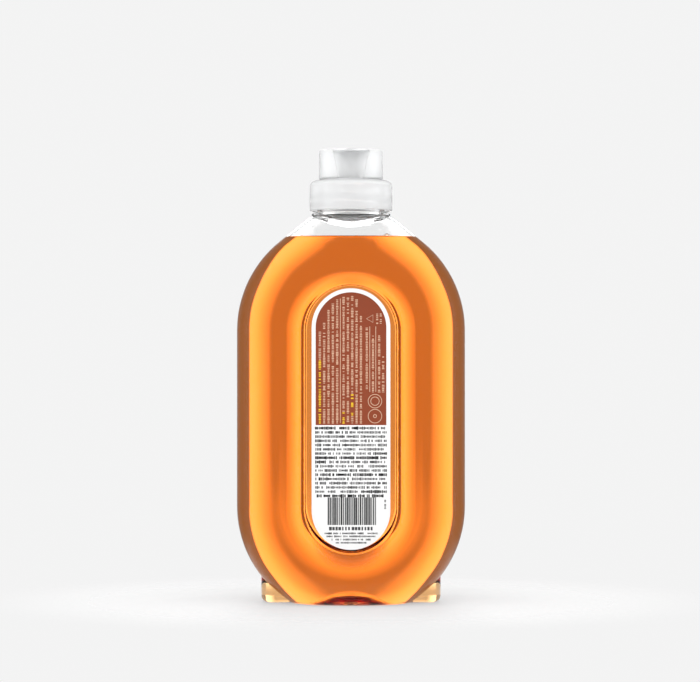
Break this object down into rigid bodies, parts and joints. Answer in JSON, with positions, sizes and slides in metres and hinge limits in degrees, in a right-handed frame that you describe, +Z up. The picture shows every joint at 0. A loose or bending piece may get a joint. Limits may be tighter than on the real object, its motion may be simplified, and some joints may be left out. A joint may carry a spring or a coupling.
{
  "type": "floor cleaner bottle",
  "caption": "Clear, flat, stadium-shaped squirt bottle of amber floor cleaner with recessed panels, a back label, a screw closure and a push-pull top.",
  "frame": {"origin": "middle of the base, on the surface that the bottle stands on", "axes": "+Z up along the neck, +X along the bottle's width, the labelled face looks along -Y"},
  "size_m": [0.116, 0.0474, 0.2302],
  "materials": {
    "clear_pet": "clear blown PET, gloss",
    "amber_liquid": "clear amber liquid",
    "printed_film": "white film, printed in brown and black",
    "gasket_foam": "soft white foam",
    "clear_closure": "clear moulded polypropylene, slightly milky"
  },
  "bodies": {
    "bottle": {"bottle": "clear_pet", "cleaning_liquid": "amber_liquid", "back_label": "printed_film"},
    "gasket": {"neck_gasket": "gasket_foam"},
    "closure": {"screw_closure": "clear_closure"},
    "top": {"pull_top": "clear_closure"}
  },
  "joints": [
    {"name": "closure_lift", "type": "slide", "parent": "bottle", "child": "gasket", "axis": [0, 0, 1], "range_m": [0, 0.0053]},
    {"name": "closure_turn", "type": "hinge", "parent": "gasket", "child": "closure", "pos_m": [0, 0, 0.2125], "axis": [0, 0, 1], "range_deg": [0, 450]},
    {"name": "top_pull", "type": "slide", "parent": "closure", "child": "top", "axis": [0, 0, 1], "range_m": [0, 0.006]}
  ],
  "couplings": [
    {"joint": "closure_lift", "follows": "closure_turn", "m_per_rad": 0.00067322}
  ]
}
